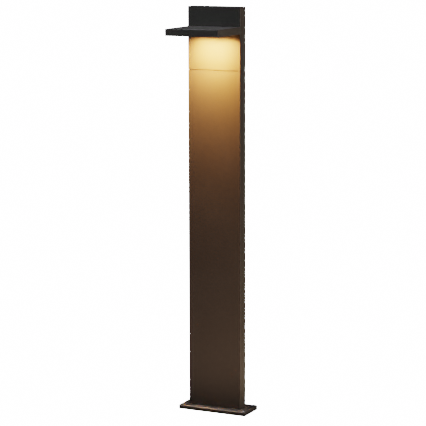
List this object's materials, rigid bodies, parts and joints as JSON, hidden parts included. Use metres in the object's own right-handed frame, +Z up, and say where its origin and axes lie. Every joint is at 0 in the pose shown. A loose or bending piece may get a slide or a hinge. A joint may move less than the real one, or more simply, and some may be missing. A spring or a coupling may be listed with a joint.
{
  "type": "bollard light",
  "caption": "Flat rectangular bollard light with a slab head that washes the post's front face with warm light, on a screwed rectangular flange.",
  "frame": {"origin": "centre of the foot's underside, which is the centre of the anchor hole pattern in the ground plate", "axes": "+Z up along the post; -Y is the way the slab reaches and the lit face looks; +X across the face, to the right of someone facing the lit face"},
  "size_m": [0.182, 0.181, 1],
  "materials": {
    "powder_coat": "fine-textured matt powder coat, very dark bronze-grey",
    "stainless": "bright turned stainless steel",
    "zinc_steel": "bright zinc-plated steel",
    "raw_aluminium": "bare extruded aluminium",
    "rubber": "matt black EPDM rubber",
    "silicone": "soft grey silicone",
    "opal_plastic": "satin opal polycarbonate, lit from behind",
    "white_plastic": "moulded white polycarbonate",
    "solder_mask_white": "white solder mask on an aluminium board",
    "led_phosphor": "yellow phosphor of warm white diodes",
    "circuit_board": "green solder mask",
    "black_nylon": "moulded black polyamide",
    "grey_plastic": "light grey moulded polycarbonate",
    "orange_plastic": "moulded orange polyamide",
    "brass": "bare stamped brass",
    "black_cable": "soft black PVC sheath",
    "core_insulation": "PVC core insulation"
  },
  "bodies": {
    "post": {"base_flange": "powder_coat", "column_profile": "powder_coat", "head_housing": "powder_coat", "head_slab": "powder_coat", "diffuser_bezel": "powder_coat", "flange_screws": "stainless", "coupler_screws": "stainless", "tenon_screws": "stainless", "bezel_screws": "stainless", "ground_plate": "zinc_steel", "terminal_carrier": "zinc_steel", "driver_bracket": "zinc_steel", "column_screws": "zinc_steel", "carrier_screws": "zinc_steel", "bracket_screws": "zinc_steel", "driver_screws": "zinc_steel", "board_screws": "zinc_steel", "coupler": "raw_aluminium", "foot_gasket": "rubber", "seam_gasket": "rubber", "gland_seal": "rubber", "diffuser_gasket": "silicone", "thermal_pad": "silicone", "diffuser": "opal_plastic", "reflector": "white_plastic", "board_connector": "white_plastic", "driver_case": "white_plastic", "driver_cover": "white_plastic", "led_board": "solder_mask_white", "led_chips": "led_phosphor", "driver_board": "circuit_board", "cable_gland": "black_nylon", "gland_locknut": "black_nylon", "gland_dome_nut": "black_nylon", "lead_clips": "black_nylon", "terminal_housing": "grey_plastic", "terminal_contacts": "brass", "mains_lead": "black_cable", "led_lead": "black_cable", "lead_cores": "core_insulation"},
    "lever_live": {"terminal_lever_live": "orange_plastic"},
    "lever_neutral": {"terminal_lever_neutral": "orange_plastic"},
    "lever_earth": {"terminal_lever_earth": "orange_plastic"}
  },
  "joints": [
    {"name": "lever_live_hinge", "type": "hinge", "parent": "post", "child": "lever_live", "pos_m": [-0.008, -0.0062, 0.084], "axis": [1, 0, 0], "range_deg": [0, 80]},
    {"name": "lever_neutral_hinge", "type": "hinge", "parent": "post", "child": "lever_neutral", "pos_m": [0, -0.0062, 0.084], "axis": [1, 0, 0], "range_deg": [0, 80]},
    {"name": "lever_earth_hinge", "type": "hinge", "parent": "post", "child": "lever_earth", "pos_m": [0.008, -0.0062, 0.084], "axis": [1, 0, 0], "range_deg": [0, 80]}
  ]
}
